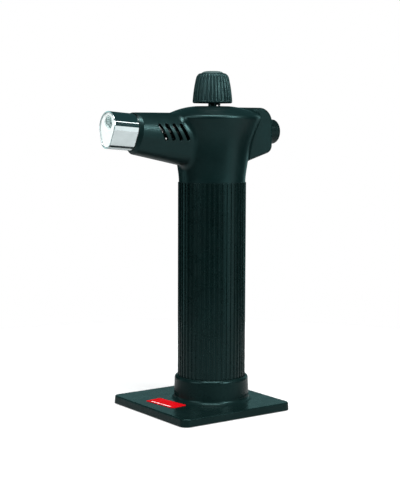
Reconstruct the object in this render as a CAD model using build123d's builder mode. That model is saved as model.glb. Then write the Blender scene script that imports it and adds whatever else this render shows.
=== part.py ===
from build123d import *
import os
from math import asin, cos, degrees, radians, sin

# A butane torch that stands in a square base. Millimetres, +Z up.
# The origin is where the torch's upright axis meets the surface that the stand rests on.
# The flame points along +X, and the torch's left side is +Y.

os.makedirs("parts", exist_ok=True)

# ---------------------------------------------------------------- driving sizes

# Fits
SLIDING_GAP = 0.3
SEAM_GAP = 0.05
SHAFT_GAP = 0.05
SPRING_END_GAP = 1.2

# Stand: the plate reaches further forward than back
PLATE_SIDE = 73.0
PLATE_CENTRE_X = 7.35
PLATE_UNDER_Z = 0.2
PLATE_TOP_Z = 4.5
PLATE_CORNER_R = 4.5
PLATE_EDGE_R = 0.8
PLATE_TAPER = 4.0
COLLAR_TOP_Z = 17.9
COLLAR_TOP_R = 20.65
COLLAR_FOOT_R = 21.2
COLLAR_LIP_R = 2.0
COLLAR_FOOT_FILLET = 2.3
SOCKET_FLOOR_Z = 3.0
PAD_THICKNESS = 0.8
PAD_MARGIN = 3.0

# Label on the plate, laid slightly askew
LABEL_LENGTH = 23.4
LABEL_WIDTH = 10.6
LABEL_THICKNESS = 0.25
LABEL_CORNER_R = 1.5
LABEL_RECESS = 0.1
LABEL_X = 30.0
LABEL_Y = -1.2
LABEL_TURN = 6.0

# Grip tube with raised ribs
GRIP_R = 19.0
GRIP_BOTTOM_Z = 3.2
GRIP_TOP_Z = 126.4
GRIP_WALL = 2.4
RIB_COUNT = 44
RIB_WIDTH = 1.15
RIB_HEIGHT = 0.5
RIB_CORNER_R = 0.3

# Head: a flared body of revolution with a low dome
NECK_R = 18.55
RIM_R = 27.3
RIM_Z = 162.8
RIM_EDGE_R = 1.8
RIM_SLOPE = 0.6
RIM_FLARE = 0.45
FLANK_LOW = (19.5, 135.5)
FLANK_MIDDLE = (22.4, 151.0)
DOME_MIDDLE = (19.2, 166.5)
DOME_EDGE_R = 9.5
DOME_TOP_Z = 168.4
WALL = 1.8
SPIGOT_BOTTOM_Z = 118.0
SPIGOT_WALL = 1.5

# Nozzle: its axis rises forward from the upright axis
NOZZLE_TILT = 4.5
NOZZLE_AXIS_Z = 150.05
BARREL_TOP_R = 7.75
BARREL_BOTTOM_R = 5.4
BARREL_HALF_HEIGHT = 9.85
BARREL_WALL = 0.6
BARREL_BACK = 43.6
BARREL_MOUTH = 68.4
PORT_RISE = 3.4
PORT_R = 4.15
BOSS_FRONT = 53.2
BOSS_LIP_EGG = (8.3, 5.95, 10.4)
BOSS_SHOULDER = 51.5
BOSS_SHOULDER_DROP = 0.6
BOSS_SHOULDER_EGG = (9.8, 7.2, 11.2)
BOSS_ROOT = 4.0
BOSS_ROOT_DROP = 1.75
BOSS_ROOT_EGG = (12.9, 10.4, 16.1)
BOSS_BLEND_R = 4.0
BOX_BLEND_R = 3.0

# Igniter box and button behind the head
BOX_REAR_X = -35.6
BOX_FRONT_X = -4.0
BOX_HALF_WIDTH = 9.5
BOX_TOP_Z = 167.8
BOX_UNDER_REAR_Z = 143.3
BOX_UNDER_FRONT_Z = 133.4
BOX_TOP_CORNER_R = 8.5
BOX_LOW_CORNER_R = 4.5
BOX_EDGE_R = 1.6
BUTTON_AXIS_Z = 154.4
BUTTON_R = 6.95
BUTTON_TIP_X = -44.5
CASE_REAR_X = -30.4

# Gas knob
KNOB_BOTTOM_Z = 170.0
KNOB_SKIRT_R = 11.05
KNOB_SHOULDER_R = 9.2
KNOB_SHOULDER_Z = 183.6
KNOB_CROWN_R = 7.3
KNOB_CROWN_Z = 186.3
KNOB_WAIST = (10.38, 177.2)
KNOB_BROW = (8.55, 185.15)
KNOB_FLUTES = 32
STEM_R = 2.35
STOP_PIN_R = 0.65
STOP_PIN_ORBIT = 3.7
STOP_PIN_ANGLE = 144.0
STOP_PIN_Z = (167.0, 169.7)
KNOB_TURN = 270.0

NOZZLE = Plane(
    origin=(0, 0, NOZZLE_AXIS_Z),
    x_dir=(0, 1, 0),
    z_dir=(cos(radians(NOZZLE_TILT)), 0, sin(radians(NOZZLE_TILT))),
)
PORT = NOZZLE.shift_origin(NOZZLE.from_local_coords((0, PORT_RISE, 0)))
BUTTON_AXIS = Plane(origin=(0, 0, BUTTON_AXIS_Z), x_dir=(0, 1, 0), z_dir=(1, 0, 0))


# ---------------------------------------------------------------- shared shapes

def egg(top_r, bottom_r, half_height):
    """Egg-shaped face: round top, tighter round bottom, straight flanks tangent to both."""
    top_y = half_height - top_r
    bottom_y = bottom_r - half_height
    lean = asin((top_r - bottom_r) / (top_y - bottom_y))
    top_end = (top_r * cos(lean), top_y - top_r * sin(lean))
    bottom_end = (bottom_r * cos(lean), bottom_y - bottom_r * sin(lean))
    with BuildSketch() as outline:
        with BuildLine():
            ThreePointArc((-top_end[0], top_end[1]), (0, half_height), top_end)
            Line(top_end, bottom_end)
            ThreePointArc(bottom_end, (0, -half_height), (-bottom_end[0], bottom_end[1]))
            Line((-bottom_end[0], bottom_end[1]), (-top_end[0], top_end[1]))
        make_face()
    return outline.sketch


def barrel_egg(grow):
    """The barrel's section, grown outward by the given amount."""
    return egg(BARREL_TOP_R + grow, BARREL_BOTTOM_R + grow, BARREL_HALF_HEIGHT + grow)


def head_form(inset):
    """The flared head, with its skin moved inward by inset."""
    with BuildPart() as form:
        with BuildSketch(Plane.XZ) as section:
            with BuildLine():
                flank = Spline(
                    (NECK_R - inset, GRIP_TOP_Z),
                    (FLANK_LOW[0] - inset, FLANK_LOW[1]),
                    (FLANK_MIDDLE[0] - inset, FLANK_MIDDLE[1]),
                    (RIM_R - inset, RIM_Z - inset * RIM_SLOPE),
                    tangents=[(0, 1), (RIM_FLARE, 1)],
                )
                dome = ThreePointArc(
                    flank @ 1,
                    (DOME_MIDDLE[0] - inset * RIM_SLOPE, DOME_MIDDLE[1] - inset),
                    (DOME_EDGE_R, DOME_TOP_Z - inset),
                )
                top = Line(dome @ 1, (0, DOME_TOP_Z - inset))
                axis = Line(top @ 1, (0, GRIP_TOP_Z))
                Line(axis @ 1, flank @ 0)
            make_face()
            fillet(section.vertices().sort_by(Axis.X)[-1], RIM_EDGE_R)
        revolve(axis=Axis.Z)
    return form.part


def lowered(along, drop):
    """Plane across the nozzle, its centre dropped below the axis."""
    return NOZZLE.offset(along).shift_origin(NOZZLE.from_local_coords((0, -drop, along)))


def boss_form(inset):
    """The nozzle boss: egg sections that grow and sink toward the head."""
    with BuildPart() as form:
        with BuildSketch(lowered(BOSS_SHOULDER, BOSS_SHOULDER_DROP)):
            add(egg(*[size - inset for size in BOSS_SHOULDER_EGG]))
        with BuildSketch(lowered(BOSS_ROOT, BOSS_ROOT_DROP)):
            add(egg(*[size - inset for size in BOSS_ROOT_EGG]))
        loft(ruled=True)
    return form.part


def box_form(inset):
    """The igniter box: flat sides, round top rear corner, underside sloping to the neck."""
    rear_x = BOX_REAR_X + inset
    top_z = BOX_TOP_Z - inset
    with BuildPart() as form:
        with BuildSketch(Plane.XZ) as side:
            with BuildLine():
                Polyline(
                    (BOX_FRONT_X, top_z),
                    (rear_x, top_z),
                    (rear_x, BOX_UNDER_REAR_Z + inset),
                    (BOX_FRONT_X, BOX_UNDER_FRONT_Z + inset),
                    close=True,
                )
            make_face()
            top_corner = side.vertices().group_by(Axis.X)[0].sort_by(Axis.Y)[-1]
            fillet(top_corner, BOX_TOP_CORNER_R - inset)
            low_corner = side.vertices().group_by(Axis.X)[0].sort_by(Axis.Y)[0]
            fillet(low_corner, BOX_LOW_CORNER_R - inset)
        extrude(amount=BOX_HALF_WIDTH - inset, both=True)
        flat_sides = form.faces().filter_by(Axis.Y)
        inner_end = form.faces().sort_by(Axis.X)[-1].edges()
        fillet([e for e in flat_sides.edges() if e not in inner_end], BOX_EDGE_R)
    return form.part


def housing_skin():
    """Outer form of both housing halves, with the boss and box blended into the head."""
    with BuildPart() as skin:
        add(head_form(0))
        add(boss_form(0))
        add(box_form(0))
        joins = skin.edges().filter_by(GeomType.BSPLINE)
        boss_join = [e for e in joins if is_boss_join(e)]
        fillet(boss_join, BOSS_BLEND_R)
        joins = skin.edges().filter_by(GeomType.BSPLINE)
        box_join = [e for e in joins if is_box_join(e)]
        fillet(box_join, BOX_BLEND_R)
        with BuildSketch(lowered(BOSS_SHOULDER, BOSS_SHOULDER_DROP)):
            add(egg(*BOSS_SHOULDER_EGG))
        with BuildSketch(NOZZLE.offset(BOSS_FRONT)):
            add(egg(*BOSS_LIP_EGG))
        loft(ruled=True)
    return skin.part


def is_boss_join(edge):
    """True for the edges where the boss meets the flared flank, below the rim."""
    box = edge.bounding_box()
    on_flank = NECK_R < box.min.X + SEAM_GAP + WALL and box.max.X < RIM_R and box.max.Z < RIM_Z
    return on_flank and abs(edge.center().Y) > WALL and edge.length > BOSS_BLEND_R


def is_box_join(edge):
    """True for the edges where the igniter box meets the flared flank, below the rim."""
    box = edge.bounding_box()
    return box.max.X < -GRIP_R / 2 and box.size.X < BOX_HALF_WIDTH and box.max.Z < RIM_Z


def tube(plane, outer_r, inner_r, start, end):
    """Plain tube along the plane's normal."""
    with BuildPart() as body:
        with BuildSketch(plane.offset(start)):
            Circle(outer_r)
            Circle(inner_r, mode=Mode.SUBTRACT)
        extrude(amount=end - start)
    return body.part


def rod(plane, radius, start, end):
    """Plain round rod along the plane's normal."""
    with BuildPart() as body:
        with BuildSketch(plane.offset(start)):
            Circle(radius)
        extrude(amount=end - start)
    return body.part


def coil_spring(plane, mean_r, wire_r, start, end, turns):
    """Helical spring whose ends lie just inside start and end."""
    end_gap = SPRING_END_GAP * wire_r
    height = end - start - 2 * end_gap
    with BuildPart() as spring:
        with BuildLine(plane.offset(start + end_gap)) as path:
            Helix(
                pitch=height / turns, height=height, radius=mean_r, direction=tuple(plane.z_dir)
            )
        with BuildSketch(Plane(origin=path.line @ 0, z_dir=path.line % 0)):
            Circle(wire_r)
        sweep(path=path.line, is_frenet=True)
    return spring.part


# ---------------------------------------------------------------- stand

with BuildPart() as stand_base:
    plate_height = PLATE_TOP_Z - PLATE_UNDER_Z
    collar_root_z = PLATE_UNDER_Z + 1
    with BuildSketch(Plane.XY.offset(PLATE_UNDER_Z)):
        with Locations((PLATE_CENTRE_X, 0)):
            RectangleRounded(PLATE_SIDE, PLATE_SIDE, PLATE_CORNER_R)
    extrude(amount=plate_height, taper=PLATE_TAPER)
    fillet(stand_base.edges().group_by(Axis.Z)[-1], PLATE_EDGE_R)
    with BuildSketch(Plane.XZ):
        with BuildLine():
            Polyline(
                (0, collar_root_z),
                (COLLAR_FOOT_R, collar_root_z),
                (COLLAR_FOOT_R, PLATE_TOP_Z),
                (COLLAR_TOP_R, COLLAR_TOP_Z),
                (0, COLLAR_TOP_Z),
                close=True,
            )
        make_face()
    revolve(axis=Axis.Z)
    foot_edge = stand_base.edges().filter_by(GeomType.CIRCLE).filter_by(
        lambda e: abs(e.radius - COLLAR_FOOT_R) < 0.01
    )
    fillet(foot_edge, COLLAR_FOOT_FILLET)
    fillet(stand_base.edges().group_by(Axis.Z)[-1], COLLAR_LIP_R)
    with BuildSketch(Plane.XY.offset(SOCKET_FLOOR_Z)):
        Circle(GRIP_R + SLIDING_GAP)
    extrude(amount=COLLAR_TOP_Z, mode=Mode.SUBTRACT)
    with BuildSketch(Plane.XY.offset(PLATE_UNDER_Z)):
        with Locations((PLATE_CENTRE_X, 0)):
            RectangleRounded(
                PLATE_SIDE - 2 * PAD_MARGIN, PLATE_SIDE - 2 * PAD_MARGIN, PLATE_CORNER_R
            )
    extrude(amount=PAD_THICKNESS - PLATE_UNDER_Z, mode=Mode.SUBTRACT)
    with BuildSketch(Plane.XY.offset(PLATE_TOP_Z)):
        with Locations(Location((LABEL_X, LABEL_Y), LABEL_TURN)):
            RectangleRounded(LABEL_WIDTH, LABEL_LENGTH, LABEL_CORNER_R)
    extrude(amount=-LABEL_RECESS, mode=Mode.SUBTRACT)
stand_base.part.label = "stand_base"
export_step(stand_base.part, "parts/stand_base.step")

with BuildPart() as stand_pad:
    with BuildSketch():
        with Locations((PLATE_CENTRE_X, 0)):
            RectangleRounded(
                PLATE_SIDE - 2 * PAD_MARGIN, PLATE_SIDE - 2 * PAD_MARGIN, PLATE_CORNER_R
            )
    extrude(amount=PAD_THICKNESS)
stand_pad.part.label = "stand_pad"
export_step(stand_pad.part, "parts/stand_pad.step")

with BuildPart() as stand_label:
    with BuildSketch(Plane.XY.offset(PLATE_TOP_Z - LABEL_RECESS)):
        with Locations(Location((LABEL_X, LABEL_Y), LABEL_TURN)):
            RectangleRounded(LABEL_WIDTH, LABEL_LENGTH, LABEL_CORNER_R)
    extrude(amount=LABEL_THICKNESS)
stand_label.part.label = "stand_label"
export_step(stand_label.part, "parts/stand_label.step")

# ---------------------------------------------------------------- grip and tank

GRIP_BORE_R = GRIP_R - GRIP_WALL

with BuildPart() as grip_sleeve:
    with BuildSketch(Plane.XY.offset(GRIP_BOTTOM_Z)):
        Circle(GRIP_R - RIB_HEIGHT)
        with PolarLocations(GRIP_R - RIB_HEIGHT, RIB_COUNT):
            RectangleRounded(2 * RIB_HEIGHT, RIB_WIDTH, RIB_CORNER_R)
        Circle(GRIP_BORE_R, mode=Mode.SUBTRACT)
    extrude(amount=GRIP_TOP_Z - GRIP_BOTTOM_Z)
grip_sleeve.part.label = "grip_sleeve"
export_step(grip_sleeve.part, "parts/grip_sleeve.step")

END_CAP_TOP_Z = 8.0
END_CAP_HOLE_R = 7.0
END_CAP_CHAMFER = 1.0

with BuildPart() as grip_end_cap:
    add(tube(Plane.XY, GRIP_BORE_R - SHAFT_GAP, END_CAP_HOLE_R, GRIP_BOTTOM_Z, END_CAP_TOP_Z))
    chamfer(grip_end_cap.edges().group_by(Axis.Z)[0].sort_by(SortBy.RADIUS)[0], END_CAP_CHAMFER)
grip_end_cap.part.label = "grip_end_cap"
export_step(grip_end_cap.part, "parts/grip_end_cap.step")

TANK_R = GRIP_BORE_R - 0.2
TANK_BORE_R = TANK_R - 1.4
TANK_BOTTOM_Z = 9.5
TANK_FLOOR = 2.5
TANK_TOP_Z = 108.0
REFILL_THREAD_R = 4.2

with BuildPart() as fuel_tank:
    with BuildSketch(Plane.XY.offset(TANK_BOTTOM_Z)):
        Circle(TANK_R)
    extrude(amount=TANK_TOP_Z - TANK_BOTTOM_Z)
    with BuildSketch(Plane.XY.offset(TANK_BOTTOM_Z + TANK_FLOOR)):
        Circle(TANK_BORE_R)
    extrude(amount=TANK_TOP_Z, mode=Mode.SUBTRACT)
    with BuildSketch(Plane.XY.offset(TANK_BOTTOM_Z)):
        Circle(REFILL_THREAD_R)
    extrude(amount=TANK_FLOOR, mode=Mode.SUBTRACT)
fuel_tank.part.label = "fuel_tank"
export_step(fuel_tank.part, "parts/fuel_tank.step")

LID_FLANGE = 2.0
LID_PLUG_DEPTH = 6.0
SEAL_GROOVE = 0.7
SEAL_WIRE_R = 0.36
SEAL_Z = 105.0
VALVE_THREAD_R = 4.0

with BuildPart() as tank_lid:
    plug_r = TANK_BORE_R - SHAFT_GAP
    plug_bottom_z = TANK_TOP_Z - LID_PLUG_DEPTH
    add(rod(Plane.XY, TANK_R, TANK_TOP_Z, TANK_TOP_Z + LID_FLANGE))
    add(rod(Plane.XY, plug_r, plug_bottom_z, TANK_TOP_Z))
    add(
        tube(Plane.XY, TANK_R, plug_r - SEAL_GROOVE, SEAL_Z - SEAL_GROOVE, SEAL_Z + SEAL_GROOVE),
        mode=Mode.SUBTRACT,
    )
    add(rod(Plane.XY, VALVE_THREAD_R, plug_bottom_z, TANK_TOP_Z + LID_FLANGE), mode=Mode.SUBTRACT)
tank_lid.part.label = "tank_lid"
export_step(tank_lid.part, "parts/tank_lid.step")

with BuildPart() as tank_seal:
    with BuildSketch(Plane.XZ):
        with Locations((TANK_BORE_R - SHAFT_GAP - SEAL_GROOVE + SEAL_WIRE_R, SEAL_Z)):
            Circle(SEAL_WIRE_R)
    revolve(axis=Axis.Z)
tank_seal.part.label = "tank_seal"
export_step(tank_seal.part, "parts/tank_seal.step")

# ---------------------------------------------------------------- filling valve

REFILL_STEM_R = 1.1
REFILL_BORE_R = 2.6
REFILL_STEM_BOTTOM_Z = 4.4
REFILL_STEM_TOP_Z = 14.2
REFILL_COLLAR_Z = (11.6, 12.8)
REFILL_PASSAGE_R = 0.5
REFILL_PASSAGE_TOP_Z = 10.5
REFILL_STEM_CHAMFER = 0.25
REFILL_SEAL_Z = (10.1, 11.5)
REFILL_FLANGE_R = 6.0
REFILL_FLANGE_Z = 6.5
REFILL_BORE_Z = (10.0, 19.8)
REFILL_TOP_Z = 21.0
REFILL_OUTLET_R = 0.8
REFILL_SPRING_R = 1.9
REFILL_SPRING_WIRE_R = 0.22
REFILL_SPRING_TURNS = 6

with BuildPart() as refill_body:
    with BuildSketch(Plane.XZ):
        with BuildLine():
            Polyline(
                (REFILL_STEM_R + SHAFT_GAP, REFILL_FLANGE_Z),
                (REFILL_FLANGE_R, REFILL_FLANGE_Z),
                (REFILL_FLANGE_R, TANK_BOTTOM_Z),
                (REFILL_THREAD_R, TANK_BOTTOM_Z),
                (REFILL_THREAD_R, REFILL_TOP_Z),
                (REFILL_OUTLET_R, REFILL_TOP_Z),
                (REFILL_OUTLET_R, REFILL_BORE_Z[1]),
                (REFILL_BORE_R, REFILL_BORE_Z[1]),
                (REFILL_BORE_R, REFILL_BORE_Z[0]),
                (REFILL_STEM_R + SHAFT_GAP, REFILL_BORE_Z[0]),
                close=True,
            )
        make_face()
    revolve(axis=Axis.Z)
refill_body.part.label = "refill_body"
export_step(refill_body.part, "parts/refill_body.step")

with BuildPart() as refill_stem:
    stem_bottom = REFILL_STEM_BOTTOM_Z
    add(rod(Plane.XY, REFILL_STEM_R, stem_bottom, REFILL_STEM_TOP_Z))
    add(rod(Plane.XY, REFILL_BORE_R - SLIDING_GAP, *REFILL_COLLAR_Z))
    add(rod(Plane.XY, REFILL_PASSAGE_R, stem_bottom, REFILL_PASSAGE_TOP_Z), mode=Mode.SUBTRACT)
    tip_edge = refill_stem.edges().group_by(Axis.Z)[0].sort_by(SortBy.RADIUS)[-1]
    chamfer(tip_edge, REFILL_STEM_CHAMFER)
refill_stem.part.label = "refill_stem"
export_step(refill_stem.part, "parts/refill_stem.step")

with BuildPart() as refill_seal:
    add(tube(Plane.XY, REFILL_BORE_R - SHAFT_GAP, REFILL_STEM_R + SHAFT_GAP, *REFILL_SEAL_Z))
refill_seal.part.label = "refill_seal"
export_step(refill_seal.part, "parts/refill_seal.step")

refill_spring = coil_spring(
    Plane.XY,
    REFILL_SPRING_R,
    REFILL_SPRING_WIRE_R,
    REFILL_COLLAR_Z[1] + SHAFT_GAP,
    REFILL_BORE_Z[1] - SHAFT_GAP,
    REFILL_SPRING_TURNS,
)
refill_spring.label = "refill_spring"
export_step(refill_spring, "parts/refill_spring.step")

# ---------------------------------------------------------------- flow valve

VALVE_R = 5.0
VALVE_BOTTOM_Z = 99.0
VALVE_TOP_Z = 157.0
VALVE_HEX_R = 7.0
VALVE_HEX_HEIGHT = 4.0
SPINDLE_R = 1.95
SPINDLE_BOTTOM_Z = 150.0
SPINDLE_TOP_Z = 180.0
NEEDLE_R = 0.8
NEEDLE_TOP_Z = 155.0
NEEDLE_TIP_DEPTH = 0.4
NEEDLE_TAPER_TOP = 1.4
SEAT_Z = 147.0
SEAT_CHAMBER = 2.0
GAS_PASSAGE_R = 0.5
FILTER_R = 1.75
FILTER_Z = (101.2, 103.0)
WICK_BOTTOM_Z = 24.0
WICK_TOP_Z = 101.0
NUT_TOP_Z = 161.5
NUT_HEX_R = 5.6
SPINDLE_SEAL_R = 0.65
SPINDLE_SEAL_SEAT = (1.5, 1.6)
JET_BRANCH_R = 3.0
JET_BRANCH_END = 13.0
JET_SOCKET_R = 2.2
JET_SOCKET_START = 8.0
JET_FEED_R = 0.6
SCREW_PILOT_R = 0.9
SCREW_PILOT_DEPTH = 5.0

with BuildPart() as valve_body:
    lid_top_z = TANK_TOP_Z + LID_FLANGE
    chamber_top_z = SEAT_Z + SEAT_CHAMBER
    add(rod(Plane.XY, VALVE_THREAD_R, VALVE_BOTTOM_Z, lid_top_z))
    with BuildSketch(Plane.XY.offset(lid_top_z)):
        RegularPolygon(VALVE_HEX_R, 6)
    extrude(amount=VALVE_HEX_HEIGHT)
    add(rod(Plane.XY, VALVE_R, lid_top_z, VALVE_TOP_Z))
    add(rod(PORT, JET_BRANCH_R, 0, JET_BRANCH_END))
    add(rod(Plane.XY, SPINDLE_R + SHAFT_GAP, chamber_top_z, VALVE_TOP_Z), mode=Mode.SUBTRACT)
    add(rod(Plane.XY, NEEDLE_R + SLIDING_GAP, SEAT_Z, chamber_top_z), mode=Mode.SUBTRACT)
    add(rod(Plane.XY, GAS_PASSAGE_R, VALVE_BOTTOM_Z, SEAT_Z), mode=Mode.SUBTRACT)
    add(rod(Plane.XY, FILTER_R + SHAFT_GAP, VALVE_BOTTOM_Z, FILTER_Z[1]), mode=Mode.SUBTRACT)
    add(rod(PORT, JET_FEED_R, 0, JET_BRANCH_END), mode=Mode.SUBTRACT)
    add(rod(PORT, JET_SOCKET_R, JET_SOCKET_START, JET_BRANCH_END), mode=Mode.SUBTRACT)
valve_body.part.label = "valve_body"
export_step(valve_body.part, "parts/valve_body.step")

with BuildPart() as valve_filter:
    add(rod(Plane.XY, FILTER_R, *FILTER_Z))
valve_filter.part.label = "valve_filter"
export_step(valve_filter.part, "parts/valve_filter.step")

with BuildPart() as fuel_wick:
    add(rod(Plane.XY, FILTER_R, WICK_BOTTOM_Z, WICK_TOP_Z))
fuel_wick.part.label = "fuel_wick"
export_step(fuel_wick.part, "parts/fuel_wick.step")

with BuildPart() as valve_needle:
    with BuildSketch(Plane.XZ):
        with BuildLine():
            Polyline(
                (0, SEAT_Z - NEEDLE_TIP_DEPTH),
                (NEEDLE_R, SEAT_Z + NEEDLE_TAPER_TOP),
                (NEEDLE_R, NEEDLE_TOP_Z),
                (0, NEEDLE_TOP_Z),
                close=True,
            )
        make_face()
    revolve(axis=Axis.Z)
valve_needle.part.label = "valve_needle"
export_step(valve_needle.part, "parts/valve_needle.step")

with BuildPart() as valve_spindle:
    needle_hole_top = NEEDLE_TOP_Z + 2 * SHAFT_GAP
    pilot_bottom = SPINDLE_TOP_Z - SCREW_PILOT_DEPTH
    add(rod(Plane.XY, SPINDLE_R, SPINDLE_BOTTOM_Z, SPINDLE_TOP_Z))
    add(rod(Plane.XY, NEEDLE_R + SHAFT_GAP, SPINDLE_BOTTOM_Z, needle_hole_top), mode=Mode.SUBTRACT)
    add(rod(Plane.XY, SCREW_PILOT_R, pilot_bottom, SPINDLE_TOP_Z), mode=Mode.SUBTRACT)
valve_spindle.part.label = "valve_spindle"
export_step(valve_spindle.part, "parts/valve_spindle.step")

with BuildPart() as gland_nut:
    with BuildSketch(Plane.XY.offset(VALVE_TOP_Z)):
        RegularPolygon(NUT_HEX_R, 6)
        Circle(SPINDLE_R + SHAFT_GAP, mode=Mode.SUBTRACT)
    extrude(amount=NUT_TOP_Z - VALVE_TOP_Z)
    seat_width, seat_depth = SPINDLE_SEAL_SEAT
    seat = tube(Plane.XY, SPINDLE_R + seat_width, SPINDLE_R, VALVE_TOP_Z, VALVE_TOP_Z + seat_depth)
    add(seat, mode=Mode.SUBTRACT)
gland_nut.part.label = "gland_nut"
export_step(gland_nut.part, "parts/gland_nut.step")

with BuildPart() as spindle_seal:
    with BuildSketch(Plane.XZ):
        with Locations((SPINDLE_R + SHAFT_GAP + SPINDLE_SEAL_R, VALVE_TOP_Z + SPINDLE_SEAL_SEAT[1] / 2)):
            Circle(SPINDLE_SEAL_R)
    revolve(axis=Axis.Z)
spindle_seal.part.label = "spindle_seal"
export_step(spindle_seal.part, "parts/spindle_seal.step")

# ---------------------------------------------------------------- gas knob

KNOB_RING_TOP_Z = 171.1
KNOB_RING_R = 11.0
KNOB_EDGE_R = 0.9
KNOB_HOLLOW_R = 8.6
KNOB_HOLLOW_TOP_Z = 177.0
HUB_BOTTOM_Z = 162.5
HUB_R = STEM_R + 1.2
FLUTE_R = 0.75
FLUTE_SWING = 12.0
LUG_R = 4.5
LUG_REACH = 0.9
LUG_HEIGHT = 1.4
CAP_SEAT_Z = 183.5
CAP_R = 6.3
CAP_TOP_Z = 187.6
CAP_FLAT_R = 3.6
CAP_BROW = (5.1, 187.2)
CAP_FIT = 0.03
KNOB_TOP_Z = 186.5
KNOB_SCREW_R = 0.85
KNOB_SCREW_HEAD_R = 2.9
KNOB_SCREW_HEAD_Z = (181.5, 183.2)
KNOB_SCREW_LENGTH = 4.5
CROSS_LENGTH = 3.4
CROSS_WIDTH = 0.6
CROSS_DEPTH = 0.9
PIN_HALF_ANGLE = degrees(asin(STOP_PIN_R / STOP_PIN_ORBIT))
STOP_PLAY = 1.0
STOP_LUG_ANGLE = 360 - KNOB_TURN - 2 * PIN_HALF_ANGLE - 2 * STOP_PLAY


def knob_flank():
    """Side line of the knob, from the plain ring up to the shoulder."""
    return ThreePointArc(
        (KNOB_RING_R, KNOB_RING_TOP_Z), KNOB_WAIST, (KNOB_SHOULDER_R, KNOB_SHOULDER_Z)
    )


with BuildPart() as groove:
    flank_arc = Plane.XZ * knob_flank()
    with BuildSketch(Plane(origin=flank_arc @ 0, z_dir=flank_arc % 0)):
        Circle(FLUTE_R)
    revolve(axis=Axis(flank_arc.arc_center, (0, -1, 0)), revolution_arc=FLUTE_SWING)

with BuildPart() as flow_knob:
    with BuildSketch(Plane.XZ) as knob_section:
        with BuildLine():
            flank = knob_flank()
            shoulder = ThreePointArc(flank @ 1, KNOB_BROW, (KNOB_CROWN_R, KNOB_CROWN_Z))
            crown = Line(shoulder @ 1, (CAP_R, KNOB_TOP_Z))
            top = Line(crown @ 1, (0, KNOB_TOP_Z))
            axis = Line(top @ 1, (0, KNOB_BOTTOM_Z))
            base = Line(axis @ 1, (KNOB_SKIRT_R, KNOB_BOTTOM_Z))
            Line(base @ 1, flank @ 0)
        make_face()
        fillet(knob_section.vertices().group_by(Axis.Y)[0].sort_by(Axis.X)[-1], KNOB_EDGE_R)
    revolve(axis=Axis.Z)
    with PolarLocations(0, KNOB_FLUTES):
        add(groove.part, mode=Mode.SUBTRACT)
    add(tube(Plane.XY, KNOB_HOLLOW_R, HUB_R, KNOB_BOTTOM_Z, KNOB_HOLLOW_TOP_Z), mode=Mode.SUBTRACT)
    add(rod(Plane.XY, STEM_R, HUB_BOTTOM_Z, KNOB_HOLLOW_TOP_Z))
    with BuildSketch(Plane.XY.offset(KNOB_BOTTOM_Z - LUG_REACH)):
        with BuildLine():
            lug_start = STOP_PIN_ANGLE + PIN_HALF_ANGLE + STOP_PLAY
            outer_arc = CenterArc((0, 0), LUG_R, lug_start, STOP_LUG_ANGLE)
            inner_arc = CenterArc((0, 0), STEM_R - SLIDING_GAP, lug_start, STOP_LUG_ANGLE)
            Line(outer_arc @ 0, inner_arc @ 0)
            Line(outer_arc @ 1, inner_arc @ 1)
        make_face()
    extrude(amount=LUG_HEIGHT)
    add(rod(Plane.XY, SPINDLE_R, HUB_BOTTOM_Z, SPINDLE_TOP_Z), mode=Mode.SUBTRACT)
    add(rod(Plane.XY, KNOB_SCREW_R + SLIDING_GAP, SPINDLE_TOP_Z, KNOB_TOP_Z), mode=Mode.SUBTRACT)
    screw_well = rod(
        Plane.XY, KNOB_SCREW_HEAD_R + SLIDING_GAP, KNOB_SCREW_HEAD_Z[0], KNOB_TOP_Z
    )
    add(screw_well, mode=Mode.SUBTRACT)
    add(rod(Plane.XY, CAP_R, CAP_SEAT_Z, KNOB_TOP_Z), mode=Mode.SUBTRACT)
flow_knob.part.label = "flow_knob"
export_step(flow_knob.part, "parts/flow_knob.step")

with BuildPart() as knob_screw:
    add(rod(Plane.XY, KNOB_SCREW_R, SPINDLE_TOP_Z - KNOB_SCREW_LENGTH, KNOB_SCREW_HEAD_Z[0]))
    add(rod(Plane.XY, KNOB_SCREW_HEAD_R, *KNOB_SCREW_HEAD_Z))
    fillet(knob_screw.edges().group_by(Axis.Z)[-1], CROSS_WIDTH)
    with BuildSketch(Plane.XY.offset(KNOB_SCREW_HEAD_Z[1])):
        Rectangle(CROSS_LENGTH, CROSS_WIDTH)
        Rectangle(CROSS_WIDTH, CROSS_LENGTH)
    extrude(amount=-CROSS_DEPTH, mode=Mode.SUBTRACT)
knob_screw.part.label = "knob_screw"
export_step(knob_screw.part, "parts/knob_screw.step")

with BuildPart() as knob_cap:
    with BuildSketch(Plane.XZ):
        with BuildLine():
            side_r = CAP_R - CAP_FIT
            rim = Polyline((0, CAP_SEAT_Z), (side_r, CAP_SEAT_Z), (side_r, KNOB_TOP_Z))
            brow = ThreePointArc(rim @ 1, CAP_BROW, (CAP_FLAT_R, CAP_TOP_Z))
            Polyline(brow @ 1, (0, CAP_TOP_Z), (0, CAP_SEAT_Z))
        make_face()
    revolve(axis=Axis.Z)
knob_cap.part.label = "knob_cap"
export_step(knob_cap.part, "parts/knob_cap.step")

stop_pin_x = STOP_PIN_ORBIT * cos(radians(STOP_PIN_ANGLE))
stop_pin_y = STOP_PIN_ORBIT * sin(radians(STOP_PIN_ANGLE))
STOP_PIN_AXIS = Plane(origin=(stop_pin_x, stop_pin_y, 0))

stop_pin = rod(STOP_PIN_AXIS, STOP_PIN_R, *STOP_PIN_Z)
stop_pin.label = "stop_pin"
export_step(stop_pin, "parts/stop_pin.step")

# ---------------------------------------------------------------- housing halves

SLOT_COUNT = 4
SLOT_LENGTH = 10.4
SLOT_WIDTH = 2.0
SLOT_LEAN = 60.0
SLOT_FIRST_X = 25.9
SLOT_PITCH = 4.45
SLOT_CENTRE_Z = 154.2

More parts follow.
